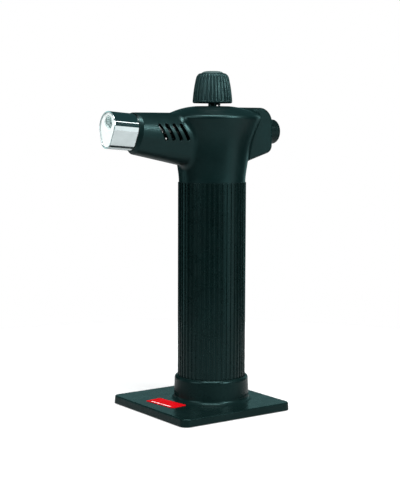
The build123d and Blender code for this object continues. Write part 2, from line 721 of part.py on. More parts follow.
POST_R = 3.0
SCREW_HEAD_R = 2.0
SCREW_HEAD_HEIGHT = 1.6
SCREW_SHANK_R = 1.1
SCREW_REACH = 5.0
SCREW_CROSS_LENGTH = 2.4
SCREW_CROSS_WIDTH = 0.5
SCREW_CROSS_DEPTH = 0.8
POST_REACH = 30.0
# Each screw: x, z, and how deep its head sits from the centre plane
SCREWS = [(-24.5, 144.3, 7.3), (24.0, 143.8, 5.6), (-12.5, 132.5, 12.0)]

IGNITER_HALF = 5.2
IGNITER_RIB_X = (-21.0, -12.0)
IGNITER_RIB_WIDTH = 1.4
RIB_SKIN_OVERLAP = 0.5
SPIGOT_R = GRIP_BORE_R - 0.1
BARREL_SEAT_GAP = 0.12
STEM_HOLE_R = STEM_R + 0.35


def across(x, z):
    """Plane on the centre plane at (x, z), facing the right-hand side, -Y."""
    return Plane(origin=(x, 0, z), x_dir=(1, 0, 0), z_dir=(0, -1, 0))


with BuildPart() as screw_posts:
    for x, z, seat in SCREWS:
        add(rod(across(x, z), POST_R, -POST_REACH, POST_REACH))
    for x in IGNITER_RIB_X:
        with BuildSketch(Plane.YZ.offset(x)):
            with Locations((0, BUTTON_AXIS_Z)):
                Rectangle(POST_REACH, POST_REACH)
                window = 2 * (IGNITER_HALF + SHAFT_GAP)
                Rectangle(window, window, mode=Mode.SUBTRACT)
        extrude(amount=IGNITER_RIB_WIDTH / 2, both=True)
    inner_skin = box_form(RIB_SKIN_OVERLAP) + head_form(RIB_SKIN_OVERLAP) + boss_form(RIB_SKIN_OVERLAP)
    add(inner_skin, mode=Mode.INTERSECT)

with BuildPart() as housing:
    add(housing_skin())
    add(head_form(WALL), mode=Mode.SUBTRACT)
    add(boss_form(WALL), mode=Mode.SUBTRACT)
    add(box_form(WALL), mode=Mode.SUBTRACT)
    add(tube(Plane.XY, NECK_R - WALL / 2, SPIGOT_R - SPIGOT_WALL, GRIP_TOP_Z, GRIP_TOP_Z + WALL))
    add(tube(Plane.XY, SPIGOT_R, SPIGOT_R - SPIGOT_WALL, SPIGOT_BOTTOM_Z, GRIP_TOP_Z))
    add(screw_posts.part)
    with BuildSketch(NOZZLE.offset(BARREL_BACK - BARREL_SEAT_GAP)):
        add(barrel_egg(BARREL_SEAT_GAP))
    extrude(amount=BARREL_MOUTH - BARREL_BACK, mode=Mode.SUBTRACT)
    with BuildSketch(Plane.XZ):
        with Locations((SLOT_FIRST_X + SLOT_PITCH * (SLOT_COUNT - 1) / 2, SLOT_CENTRE_Z)):
            with GridLocations(SLOT_PITCH, 0, SLOT_COUNT, 1):
                SlotOverall(SLOT_LENGTH, SLOT_WIDTH, rotation=SLOT_LEAN)
    extrude(amount=NECK_R, both=True, mode=Mode.SUBTRACT)
    add(rod(Plane.XY, STEM_HOLE_R, HUB_BOTTOM_Z, KNOB_BOTTOM_Z), mode=Mode.SUBTRACT)
    add(stop_pin, mode=Mode.SUBTRACT)
    add(rod(BUTTON_AXIS, BUTTON_R + SLIDING_GAP, BUTTON_TIP_X, CASE_REAR_X), mode=Mode.SUBTRACT)
    for x, z, seat in SCREWS:
        shank_hole = rod(across(x, z), SCREW_SHANK_R + SHAFT_GAP, -SCREW_REACH - WALL / 2, seat)
        add(shank_hole, mode=Mode.SUBTRACT)
        add(rod(across(x, z), SCREW_HEAD_R + 2 * SHAFT_GAP, seat, POST_REACH), mode=Mode.SUBTRACT)

with BuildPart() as housing_left:
    add(housing.part)
    split(bisect_by=Plane.XZ.offset(-SEAM_GAP), keep=Keep.BOTTOM)
housing_left.part.label = "housing_left"
export_step(housing_left.part, "parts/housing_left.step")

with BuildPart() as housing_right:
    add(housing.part)
    split(bisect_by=Plane.XZ.offset(SEAM_GAP), keep=Keep.TOP)
housing_right.part.label = "housing_right"
export_step(housing_right.part, "parts/housing_right.step")

with BuildPart() as housing_screws:
    for x, z, seat in SCREWS:
        add(rod(across(x, z), SCREW_SHANK_R, -SCREW_REACH, seat))
        add(rod(across(x, z), SCREW_HEAD_R, seat, seat + SCREW_HEAD_HEIGHT))
        with BuildSketch(across(x, z).offset(seat + SCREW_HEAD_HEIGHT)):
            Rectangle(SCREW_CROSS_LENGTH, SCREW_CROSS_WIDTH)
            Rectangle(SCREW_CROSS_WIDTH, SCREW_CROSS_LENGTH)
        extrude(amount=-SCREW_CROSS_DEPTH, mode=Mode.SUBTRACT)
housing_screws.part.label = "housing_screws"
export_step(housing_screws.part, "parts/housing_screws.step")

# ---------------------------------------------------------------- burner

JET_BODY_R = 4.2
JET_BODY_END = 19.0
JET_R = 1.5
JET_BACK = 16.0
JET_NOSE_BACK = 20.0
JET_NOSE_LENGTH = 1.2
JET_NOSE_TAPER = 35.0
JET_ORIFICE_R = 0.2
MIXER_R = 4.9
MIXER_BACK = 14.0
MIXER_END = 46.0
AIR_HOLE_R = 1.1
AIR_HOLE_ROWS = 6
AIR_HOLE_TURN = 30
AIR_HOLE_PITCH = 3.2
AIR_HOLE_FIRST = 24.0
AIR_HOLES_ROUND = 3
COUPLING_R = 5.6
COUPLING_BACK = 44.0
COUPLING_STEP = 46.5
COUPLING_END = 50.0
FLAME_TUBE_R = PORT_R - SHAFT_GAP
FLAME_TUBE_BORE_R = 3.75
HOLDER_BACK = 56.0
HOLDER_LENGTH = 3.0
HOLDER_PORT_R = 0.7
HOLDER_PORT_ORBIT = 2.2
BARREL_EDGE_R = 0.25
INSERT_BACK = 52.0
INSERT_FACE = BARREL_MOUTH - 0.5
INSERT_INSET = -BARREL_WALL - SHAFT_GAP
INSERT_EDGE_R = 0.3
FLAME_TUBE_END = INSERT_FACE - INSERT_EDGE_R
BUSH_BACK = BARREL_BACK + 0.2
BUSH_LENGTH = 4.0
LEAD_Y = -5.2
ELECTRODE_R = 0.4
ELECTRODE_BACK = 38.5
ELECTRODE_BEND_R = 0.6
INSULATOR_R = 1.25
INSULATOR_SPAN = (40.0, 60.8)
SPARK_AT = 62.0
SPARK_Y = 1.2
SPARK_SLOT = 1.4

LEAD_AXIS = NOZZLE.shift_origin(NOZZLE.from_local_coords((0, LEAD_Y, 0)))

with BuildPart() as jet_holder:
    add(rod(PORT, JET_SOCKET_R, JET_SOCKET_START, JET_BRANCH_END))
    add(rod(PORT, JET_BODY_R, JET_BRANCH_END, JET_BODY_END))
    add(rod(PORT, JET_FEED_R, JET_SOCKET_START, JET_BACK), mode=Mode.SUBTRACT)
    add(rod(PORT, JET_R, JET_BACK, JET_BODY_END), mode=Mode.SUBTRACT)
jet_holder.part.label = "jet_holder"
export_step(jet_holder.part, "parts/jet_holder.step")

with BuildPart() as gas_jet:
    nose_end = JET_NOSE_BACK + JET_NOSE_LENGTH
    add(rod(PORT, JET_R, JET_BACK, JET_NOSE_BACK))
    with BuildSketch(PORT.offset(JET_NOSE_BACK)):
        Circle(JET_R)
    extrude(amount=JET_NOSE_LENGTH, taper=JET_NOSE_TAPER)
    add(rod(PORT, JET_ORIFICE_R, JET_BACK, nose_end), mode=Mode.SUBTRACT)
gas_jet.part.label = "gas_jet"
export_step(gas_jet.part, "parts/gas_jet.step")

with BuildPart() as mixing_tube:
    add(tube(PORT, MIXER_R, JET_BODY_R, MIXER_BACK, MIXER_END))
    for row in range(AIR_HOLE_ROWS):
        first_turn = AIR_HOLE_TURN * (row % 2)
        with Locations(PORT.offset(AIR_HOLE_FIRST + AIR_HOLE_PITCH * row)):
            with PolarLocations(0, AIR_HOLES_ROUND, start_angle=first_turn, angular_range=180):
                Cylinder(AIR_HOLE_R, 2 * MIXER_R + 2, rotation=(90, 0, 0), mode=Mode.SUBTRACT)
mixing_tube.part.label = "mixing_tube"
export_step(mixing_tube.part, "parts/mixing_tube.step")

with BuildPart() as burner_coupling:
    add(tube(PORT, COUPLING_R, MIXER_R, COUPLING_BACK, COUPLING_STEP))
    add(tube(PORT, COUPLING_R, FLAME_TUBE_R, COUPLING_STEP, COUPLING_END))
burner_coupling.part.label = "burner_coupling"
export_step(burner_coupling.part, "parts/burner_coupling.step")

with BuildPart() as flame_tube:
    add(tube(PORT, FLAME_TUBE_R, FLAME_TUBE_BORE_R, COUPLING_STEP, FLAME_TUBE_END))
    with BuildSketch(LEAD_AXIS.offset(SPARK_AT)):
        with Locations((0, FLAME_TUBE_R)):
            Rectangle(SPARK_SLOT, FLAME_TUBE_R)
    extrude(amount=SPARK_SLOT / 2, both=True, mode=Mode.SUBTRACT)
flame_tube.part.label = "flame_tube"
export_step(flame_tube.part, "parts/flame_tube.step")

with BuildPart() as flame_holder:
    add(rod(PORT, FLAME_TUBE_BORE_R, HOLDER_BACK, HOLDER_BACK + HOLDER_LENGTH))
    with BuildSketch(PORT.offset(HOLDER_BACK)):
        Circle(HOLDER_PORT_R)
        with PolarLocations(HOLDER_PORT_ORBIT, 6):
            Circle(HOLDER_PORT_R)
    extrude(amount=HOLDER_LENGTH, mode=Mode.SUBTRACT)
flame_holder.part.label = "flame_holder"
export_step(flame_holder.part, "parts/flame_holder.step")

with BuildPart() as burner_barrel:
    with BuildSketch(NOZZLE.offset(BARREL_BACK)):
        add(barrel_egg(0))
    extrude(amount=BARREL_MOUTH - BARREL_BACK)
    fillet(burner_barrel.faces().sort_by(Axis.X)[-1].edges(), BARREL_EDGE_R)
    with BuildSketch(NOZZLE.offset(BARREL_BACK)):
        add(barrel_egg(-BARREL_WALL))
    extrude(amount=BARREL_MOUTH, mode=Mode.SUBTRACT)
burner_barrel.part.label = "burner_barrel"
export_step(burner_barrel.part, "parts/burner_barrel.step")

with BuildPart() as burner_insert:
    with BuildSketch(NOZZLE.offset(INSERT_BACK)):
        add(barrel_egg(INSERT_INSET))
    extrude(amount=INSERT_FACE - INSERT_BACK)
    add(rod(PORT, PORT_R, INSERT_BACK, BARREL_MOUTH), mode=Mode.SUBTRACT)
    fillet(burner_insert.faces().sort_by(Axis.X)[-1].edges(), INSERT_EDGE_R)
    lead_hole = rod(LEAD_AXIS, INSULATOR_R + SHAFT_GAP, INSERT_BACK, SPARK_AT + SPARK_SLOT / 2)
    add(lead_hole, mode=Mode.SUBTRACT)
    with BuildSketch(LEAD_AXIS.offset(SPARK_AT)):
        with Locations((0, -LEAD_Y / 2)):
            Rectangle(SPARK_SLOT, -LEAD_Y)
    extrude(amount=SPARK_SLOT / 2, both=True, mode=Mode.SUBTRACT)
burner_insert.part.label = "burner_insert"
export_step(burner_insert.part, "parts/burner_insert.step")

with BuildPart() as barrel_bush:
    with BuildSketch(NOZZLE.offset(BUSH_BACK)):
        add(barrel_egg(INSERT_INSET))
    extrude(amount=BUSH_LENGTH)
    add(rod(PORT, COUPLING_R + SHAFT_GAP, BUSH_BACK, BUSH_BACK + BUSH_LENGTH), mode=Mode.SUBTRACT)
    bush_lead_hole = rod(LEAD_AXIS, INSULATOR_R + SHAFT_GAP, BUSH_BACK, BUSH_BACK + BUSH_LENGTH)
    add(bush_lead_hole, mode=Mode.SUBTRACT)
barrel_bush.part.label = "barrel_bush"
export_step(barrel_bush.part, "parts/barrel_bush.step")

with BuildPart() as electrode:
    with BuildLine() as electrode_path:
        FilletPolyline(
            NOZZLE.from_local_coords((0, LEAD_Y, ELECTRODE_BACK)),
            NOZZLE.from_local_coords((0, LEAD_Y, SPARK_AT)),
            NOZZLE.from_local_coords((0, SPARK_Y, SPARK_AT)),
            radius=ELECTRODE_BEND_R,
        )
    with BuildSketch(LEAD_AXIS.offset(ELECTRODE_BACK)):
        Circle(ELECTRODE_R)
    sweep(path=electrode_path.line)
electrode.part.label = "electrode"
export_step(electrode.part, "parts/electrode.step")

electrode_insulator = tube(LEAD_AXIS, INSULATOR_R, ELECTRODE_R, *INSULATOR_SPAN)
electrode_insulator.label = "electrode_insulator"
export_step(electrode_insulator, "parts/electrode_insulator.step")

# ---------------------------------------------------------------- piezo igniter

CASE_SQUARE_X = -24.0
CASE_FRONT_X = -7.0
CASE_CORNER_R = 0.8
CASE_BORE_R = 3.05
CONTACT_HOLE_R = 1.0
PLUNGER_R = 3.0
PLUNGER_FRONT_X = -23.0
PLUNGER_BORE_R = 2.3
PLUNGER_BORE_REAR_X = -27.0
SKIRT_END_X = -32.5
BUTTON_INNER_X = -41.5
BUTTON_INNER_R = 5.9
BUTTON_CROWN = (BUTTON_TIP_X + 0.25, 3.0)
BUTTON_CROWN_EDGE = (BUTTON_TIP_X + 0.95, BUTTON_R - 1.15)
BUTTON_BROW = (BUTTON_TIP_X + 1.4, BUTTON_R - 0.3)
BUTTON_BROW_EDGE = (BUTTON_TIP_X + 2.2, BUTTON_R)
HAMMER_REAR_X = -17.9
HAMMER_FRONT_X = -14.4
HAMMER_CHAMFER = 0.3
HAMMER_SPRING_R = 1.7
HAMMER_SPRING_WIRE_R = 0.28
HAMMER_SPRING_TURNS = 7
RETURN_SPRING_R = 4.4
RETURN_SPRING_WIRE_R = 0.35
RETURN_SPRING_TURNS = 6
ANVIL_REAR_X = -12.8
CRYSTAL_REAR_X = -11.4
CRYSTAL_FRONT_X = -8.2

with BuildPart() as ignition_button:
    with BuildSketch(Plane.XZ.shift_origin((0, 0, BUTTON_AXIS_Z))):
        with BuildLine():
            crown = ThreePointArc((BUTTON_TIP_X, 0), BUTTON_CROWN, BUTTON_CROWN_EDGE)
            brow = ThreePointArc(crown @ 1, BUTTON_BROW, BUTTON_BROW_EDGE)
            Polyline(
                brow @ 1,
                (SKIRT_END_X, BUTTON_R),
                (SKIRT_END_X, BUTTON_INNER_R),
                (BUTTON_INNER_X, BUTTON_INNER_R),
                (BUTTON_INNER_X, 0),
                (BUTTON_TIP_X, 0),
            )
        make_face()
    revolve(axis=Axis((0, 0, BUTTON_AXIS_Z), (1, 0, 0)))
ignition_button.part.label = "ignition_button"
export_step(ignition_button.part, "parts/ignition_button.step")

with BuildPart() as igniter_plunger:
    add(rod(BUTTON_AXIS, PLUNGER_R, BUTTON_INNER_X, PLUNGER_FRONT_X))
    add(rod(BUTTON_AXIS, PLUNGER_BORE_R, PLUNGER_BORE_REAR_X, PLUNGER_FRONT_X), mode=Mode.SUBTRACT)
igniter_plunger.part.label = "igniter_plunger"
export_step(igniter_plunger.part, "parts/igniter_plunger.step")

with BuildPart() as igniter_case:
    add(rod(BUTTON_AXIS, IGNITER_HALF, CASE_REAR_X, CASE_SQUARE_X))
    with BuildSketch(BUTTON_AXIS.offset(CASE_SQUARE_X)):
        RectangleRounded(2 * IGNITER_HALF, 2 * IGNITER_HALF, CASE_CORNER_R)
    extrude(amount=CASE_FRONT_X - CASE_SQUARE_X)
    add(rod(BUTTON_AXIS, CASE_BORE_R, CASE_REAR_X, CRYSTAL_FRONT_X), mode=Mode.SUBTRACT)
    add(rod(BUTTON_AXIS, CONTACT_HOLE_R, CRYSTAL_FRONT_X, CASE_FRONT_X), mode=Mode.SUBTRACT)
igniter_case.part.label = "igniter_case"
export_step(igniter_case.part, "parts/igniter_case.step")

with BuildPart() as hammer:
    add(rod(BUTTON_AXIS, PLUNGER_R, HAMMER_REAR_X, HAMMER_FRONT_X))
    chamfer(hammer.edges().filter_by(GeomType.CIRCLE), HAMMER_CHAMFER)
hammer.part.label = "hammer"
export_step(hammer.part, "parts/hammer.step")

anvil = rod(BUTTON_AXIS, PLUNGER_R, ANVIL_REAR_X, CRYSTAL_REAR_X)
anvil.label = "anvil"
export_step(anvil, "parts/anvil.step")

piezo_crystal = rod(BUTTON_AXIS, PLUNGER_R, CRYSTAL_REAR_X, CRYSTAL_FRONT_X)
piezo_crystal.label = "piezo_crystal"
export_step(piezo_crystal, "parts/piezo_crystal.step")

hammer_spring = coil_spring(
    BUTTON_AXIS,
    HAMMER_SPRING_R,
    HAMMER_SPRING_WIRE_R,
    PLUNGER_BORE_REAR_X + SHAFT_GAP,
    HAMMER_REAR_X,
    HAMMER_SPRING_TURNS,
)
hammer_spring.label = "hammer_spring"
export_step(hammer_spring, "parts/hammer_spring.step")

return_spring = coil_spring(
    BUTTON_AXIS,
    RETURN_SPRING_R,
    RETURN_SPRING_WIRE_R,
    BUTTON_INNER_X,
    CASE_REAR_X,
    RETURN_SPRING_TURNS,
)
return_spring.label = "return_spring"
export_step(return_spring, "parts/return_spring.step")

LEAD_R = 0.7
CONTACT_FRONT_X = -6.0
CONTACT_PLATE = (6.4, 9.0)
CONTACT_SHIFT = (-1.4, -1.5)
CONTACT_CORNER_R = 0.5
LEAD_START = (-6.5, -3.0, 148.3)
LEAD_BENDS = ((-6.5, -3.0, 143.5), (-2.0, -8.0, 142.0), (13.0, -8.0, 146.5))
LEAD_BEND_R = (2.0, 2.0, 6.0, 6.0)
LEAD_TURN_X = 27.0
LEAD_TURN_Y = -2.0
LEAD_TURN_RISE = 0.8

with BuildPart() as igniter_contact:
    add(rod(BUTTON_AXIS, CONTACT_HOLE_R - SHAFT_GAP, CRYSTAL_FRONT_X, CASE_FRONT_X))
    with BuildSketch(BUTTON_AXIS.offset(CASE_FRONT_X)):
        with Locations(CONTACT_SHIFT):
            RectangleRounded(*CONTACT_PLATE, CONTACT_CORNER_R)
    extrude(amount=CONTACT_FRONT_X - CASE_FRONT_X)
igniter_contact.part.label = "igniter_contact"
export_step(igniter_contact.part, "parts/igniter_contact.step")

with BuildPart() as ignition_lead:
    lead_end = NOZZLE.from_local_coords((0, LEAD_Y, ELECTRODE_BACK))
    with BuildLine() as lead_path:
        FilletPolyline(
            LEAD_START,
            *LEAD_BENDS,
            (LEAD_TURN_X, LEAD_TURN_Y, lead_end.Z + LEAD_TURN_RISE),
            lead_end,
            radius=LEAD_BEND_R,
        )
    with BuildSketch(Plane(origin=LEAD_START, z_dir=(0, 0, -1))):
        Circle(LEAD_R)
    sweep(path=lead_path.line)
ignition_lead.part.label = "ignition_lead"
export_step(ignition_lead.part, "parts/ignition_lead.step")
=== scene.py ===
from math import asin, cos, pi, radians, sin

import bmesh
import bpy
from mathutils import Matrix, Vector


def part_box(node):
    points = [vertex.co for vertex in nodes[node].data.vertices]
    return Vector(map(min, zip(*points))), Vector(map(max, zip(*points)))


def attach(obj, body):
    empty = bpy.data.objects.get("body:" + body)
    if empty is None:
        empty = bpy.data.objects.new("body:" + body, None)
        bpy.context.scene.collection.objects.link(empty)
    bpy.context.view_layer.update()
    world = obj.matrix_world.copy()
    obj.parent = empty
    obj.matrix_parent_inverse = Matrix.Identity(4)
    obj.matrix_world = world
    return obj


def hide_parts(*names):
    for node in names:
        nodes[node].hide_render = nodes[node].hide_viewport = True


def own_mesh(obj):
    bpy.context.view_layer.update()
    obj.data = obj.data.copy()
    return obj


# A butane torch in its square stand. Metres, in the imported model's frame.

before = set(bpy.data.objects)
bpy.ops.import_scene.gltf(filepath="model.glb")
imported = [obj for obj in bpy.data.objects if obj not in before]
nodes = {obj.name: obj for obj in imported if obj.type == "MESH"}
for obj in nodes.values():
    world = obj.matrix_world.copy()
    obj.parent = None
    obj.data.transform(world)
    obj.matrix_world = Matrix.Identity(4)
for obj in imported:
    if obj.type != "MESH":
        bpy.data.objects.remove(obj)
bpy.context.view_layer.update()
scene = bpy.context.scene


# ---------------------------------------------------------------- helpers

BEVEL_SAMPLES = 4
# Cosine of the turn between true and rounded normal, where the edge mask starts and where it is full;
# the mask marks wear, and on the plastics also a painted highlight
EDGE_MASK_STARTS = 0.985
EDGE_MASK_FULL = 0.90


class Finish:
    """One procedural material: a Principled shader and short calls that wire nodes to it."""

    def __init__(self, name, roughness, metallic=0.0, specular=0.5):
        self.material = bpy.data.materials.new(name)
        self.material.use_nodes = True
        self.tree = self.material.node_tree
        self.shader = self.tree.nodes["Principled BSDF"]
        self.set("Roughness", roughness)
        self.set("Metallic", metallic)
        self.set("Specular IOR Level", specular)
        self.place = self.node("ShaderNodeTexCoord").outputs["Object"]

    def set(self, socket, value):
        self.shader.inputs[socket].default_value = value

    def node(self, kind, **settings):
        made = self.tree.nodes.new(kind)
        for name, value in settings.items():
            setattr(made, name, value)
        return made

    def link(self, start, end):
        self.tree.links.new(start, end)

    def stretched(self, scale):
        """The place, scaled along each axis."""
        mapping = self.node("ShaderNodeMapping")
        mapping.inputs["Scale"].default_value = scale
        self.link(self.place, mapping.inputs["Vector"])
        return mapping.outputs["Vector"]

    def noise(self, size, detail=3.0, rough=0.55, stretch=None):
        """Noise whose grains are about size metres across."""
        texture = self.node("ShaderNodeTexNoise")
        texture.inputs["Scale"].default_value = 1.0 / size
        texture.inputs["Detail"].default_value = detail
        texture.inputs["Roughness"].default_value = rough
        place = self.place if stretch is None else self.stretched(stretch)
        self.link(place, texture.inputs["Vector"])
        return texture.outputs["Fac"]

    def pits(self, size):
        """Cell pattern whose cells are about size metres across."""
        texture = self.node("ShaderNodeTexVoronoi")
        texture.inputs["Scale"].default_value = 1.0 / size
        self.link(self.place, texture.inputs["Vector"])
        return texture.outputs["Distance"]

    def between(self, value, low, high, to_low=0.0, to_high=1.0):
        """value from low..high mapped to to_low..to_high."""
        span = self.node("ShaderNodeMapRange")
        ends = {"From Min": low, "From Max": high, "To Min": to_low, "To Max": to_high}
        for name, number in ends.items():
            span.inputs[name].default_value = number
        self.link(value, span.inputs["Value"])
        return span.outputs["Result"]

    def feed(self, socket, value):
        """Gives a socket another node's output, a colour or a number."""
        if isinstance(value, bpy.types.NodeSocket):
            self.link(value, socket)
        elif isinstance(value, (tuple, list)):
            socket.default_value = (*value, 1.0)
        else:
            socket.default_value = value

    def mix(self, factor, first, second):
        """Colour mix; sockets 6 and 7 and output 2 are the Mix node's colour ones."""
        blend = self.node("ShaderNodeMix", data_type="RGBA")
        self.link(factor, blend.inputs["Factor"])
        self.feed(blend.inputs[6], first)
        self.feed(blend.inputs[7], second)
        return blend.outputs[2]

    def times(self, first, second):
        """Product of two numbers or outputs."""
        product = self.node("ShaderNodeMath", operation="MULTIPLY")
        self.feed(product.inputs[0], first)
        self.feed(product.inputs[1], second)
        return product.outputs["Value"]

    def rounded_normal(self, radius):
        """The surface normal with edges rounded over radius metres."""
        rounded = self.node("ShaderNodeBevel", samples=BEVEL_SAMPLES)
        rounded.inputs["Radius"].default_value = radius
        return rounded.outputs["Normal"]

    def sharp_edge_mask(self, width):
        """1 on edges sharper than their surroundings, 0 on open faces, broken up by fine noise."""
        facing = self.node("ShaderNodeVectorMath", operation="DOT_PRODUCT")
        self.link(self.rounded_normal(width), facing.inputs[0])
        self.link(self.node("ShaderNodeNewGeometry").outputs["Normal"], facing.inputs[1])
        edge = self.between(facing.outputs["Value"], EDGE_MASK_STARTS, EDGE_MASK_FULL)
        return self.times(edge, self.between(self.noise(0.0011, detail=4.0), 0.42, 0.62))

    def bump(self, edge_radius, *layers):
        """Rounded edges under relief from (height socket, depth in metres) layers, finest last."""
        normal = self.rounded_normal(edge_radius)
        for height, depth in layers:
            relief = self.node("ShaderNodeBump")
            relief.inputs["Distance"].default_value = depth
            self.link(height, relief.inputs["Height"])
            self.link(normal, relief.inputs["Normal"])
            normal = relief.outputs["Normal"]
        self.link(normal, self.shader.inputs["Normal"])

    def colour(self, socket):
        self.link(socket, self.shader.inputs["Base Color"])

    def roughness(self, socket):
        self.link(socket, self.shader.inputs["Roughness"])


def add_piece(name, built):
    """Mesh object in the scene, made from a finished bmesh."""
    mesh = bpy.data.meshes.new(name)
    built.to_mesh(mesh)
    built.free()
    piece = bpy.data.objects.new(name, mesh)
    scene.collection.objects.link(piece)
    return piece


# ---------------------------------------------------------------- materials

# The plastics' gloss has a cool sea-green cast
SHEEN_TINT = (0.50, 1.0, 1.0, 1.0)
GRAIN_SIZE = 0.00035
# Scale along each axis that draws noise out into marks: small is long, large is thin
HAIRLINES = (0.05, 1.0, 1.0)
TURNING_MARKS = (1.0, 1.0, 30.0)
FIBRES = (1.0, 1.0, 0.12)


def moulded_plastic(name, dark, light, rough, specular=0.17, grain_depth=0.000010, edge_radius=0.0004):
    """Injection-moulded plastic: spark-eroded grain, faint flow mottling, and sharp edges painted
    lighter, partly as rubbed wear and partly as a painted highlight.
    """
    skin = Finish(name, rough, specular=specular)
    skin.set("Specular Tint", SHEEN_TINT)
    flow = skin.between(skin.noise(0.017, detail=4.0), 0.35, 0.68)
    speck = skin.between(skin.noise(0.0006, detail=2.0), 0.3, 0.75)
    base = skin.mix(flow, dark, light)
    lifted = [min(1.0, tone * 1.5 + 0.002) for tone in light]
    base = skin.mix(skin.times(speck, 0.28), base, lifted)
    # Sharp edges are painted lighter: partly rubbed wear, partly a painted highlight where the edges
    # would catch the light
    worn = [min(1.0, tone * 2.6 + 0.02) for tone in light]
    edges = skin.times(skin.sharp_edge_mask(0.0004), 0.35)
    skin.colour(skin.mix(edges, base, worn))
    skin.roughness(skin.between(skin.noise(0.006, detail=5.0), 0.3, 0.7, rough - 0.02, rough + 0.04))
    sink = (skin.noise(0.012, detail=1.0), 0.000004)
    skin.bump(edge_radius, sink, (skin.pits(GRAIN_SIZE), grain_depth))
    return skin.material


def chrome(name, tint, rough):
    """Plated metal: near mirror, with a faint orange peel, hazing and hairlines along X."""
    skin = Finish(name, rough, metallic=1.0)
    haze = skin.between(skin.noise(0.005, detail=4.0), 0.4, 0.7)
    worn = [tone * 0.8 for tone in tint]
    base = skin.mix(skin.times(haze, 0.35), tint, worn)
    skin.colour(skin.mix(skin.times(skin.sharp_edge_mask(0.0003), 0.5), base, (0.62, 0.60, 0.56)))
    hairlines = skin.noise(0.0004, detail=3.0, rough=0.6, stretch=HAIRLINES)
    skin.roughness(skin.between(hairlines, 0.35, 0.75, rough, rough + 0.05))
    skin.bump(0.00005, (skin.noise(0.004, detail=1.0), 0.000002), (hairlines, 0.0000003))
    return skin.material


def turned_metal(name, tint, shade, rough):
    """Machined metal with duller patches and fine turning marks stacked along Z."""
    skin = Finish(name, rough, metallic=1.0)
    patch = skin.between(skin.noise(0.004, detail=4.0), 0.35, 0.7)
    marks = skin.noise(0.02, detail=2.0, rough=0.5, stretch=TURNING_MARKS)
    base = skin.mix(patch, tint, shade)
    bright = [min(1.0, tone * 1.25) for tone in tint]
    skin.colour(skin.mix(skin.times(skin.sharp_edge_mask(0.0002), 0.6), base, bright))
    skin.roughness(skin.between(marks, 0.3, 0.7, rough - 0.08, rough + 0.1))
    skin.bump(0.00015, (marks, 0.000012), (skin.noise(0.0006, detail=2.0), 0.000003))
    return skin.material


def ceramic(name, tint, stain, rough):
    """Fired ceramic: fine pores, a soft glaze and faint heat staining."""
    skin = Finish(name, rough, specular=0.5)
    skin.set("Coat Weight", 0.25)
    skin.set("Coat Roughness", 0.2)
    heat = skin.between(skin.noise(0.006, detail=4.0), 0.45, 0.75)
    pores = skin.between(skin.pits(0.0009), 0.0, 0.32, 1.0, 0.0)
    base = skin.mix(skin.times(heat, 0.4), tint, stain)
    skin.colour(skin.mix(skin.times(pores, 0.22), base, stain))
    skin.roughness(skin.between(heat, 0.0, 1.0, rough, rough + 0.12))
    skin.bump(0.0002, (skin.noise(0.0025, detail=3.0), 0.00001), (skin.pits(0.0009), 0.000006))
    return skin.material


def rubber(name, dark, light):
    """Matt rubber with a dusty bloom."""
    skin = Finish(name, 0.75, specular=0.3)
    bloom = skin.between(skin.noise(0.006, detail=5.0), 0.4, 0.7)
    skin.colour(skin.mix(bloom, dark, light))
    skin.roughness(skin.between(bloom, 0.0, 1.0, 0.68, 0.86))
    skin.bump(0.0002, (skin.noise(0.0012, detail=4.0), 0.00003), (skin.pits(0.0005), 0.00001))
    return skin.material


def felt(name, dark, light):
    """Fibres that run along Z, for the wick and the filter."""
    skin = Finish(name, 0.95, specular=0.1)
    fibres = skin.noise(0.0009, detail=5.0, rough=0.7, stretch=FIBRES)
    skin.colour(skin.mix(skin.between(fibres, 0.3, 0.7), dark, light))
    skin.set("Sheen Weight", 0.3)
    skin.bump(0.0002, (fibres, 0.0002))
    return skin.material


def label_print(name, tint, deep):
    """Printed and lacquered label stock: even ink with a fine screen and a slight ripple."""
    skin = Finish(name, 0.5, specular=0.01)
    ink = skin.between(skin.noise(0.003, detail=4.0), 0.3, 0.7)
    dots = skin.between(skin.pits(0.0003), 0.0, 0.5)
    base = skin.mix(ink, tint, deep)
    skin.colour(skin.mix(skin.times(dots, 0.12), base, deep))
    skin.roughness(skin.between(ink, 0.0, 1.0, 0.48, 0.6))
    ripple = (skin.noise(0.006, detail=2.0), 0.00002)
    skin.bump(0.00005, ripple, (skin.noise(0.0004, detail=3.0), 0.000004))
    return skin.material


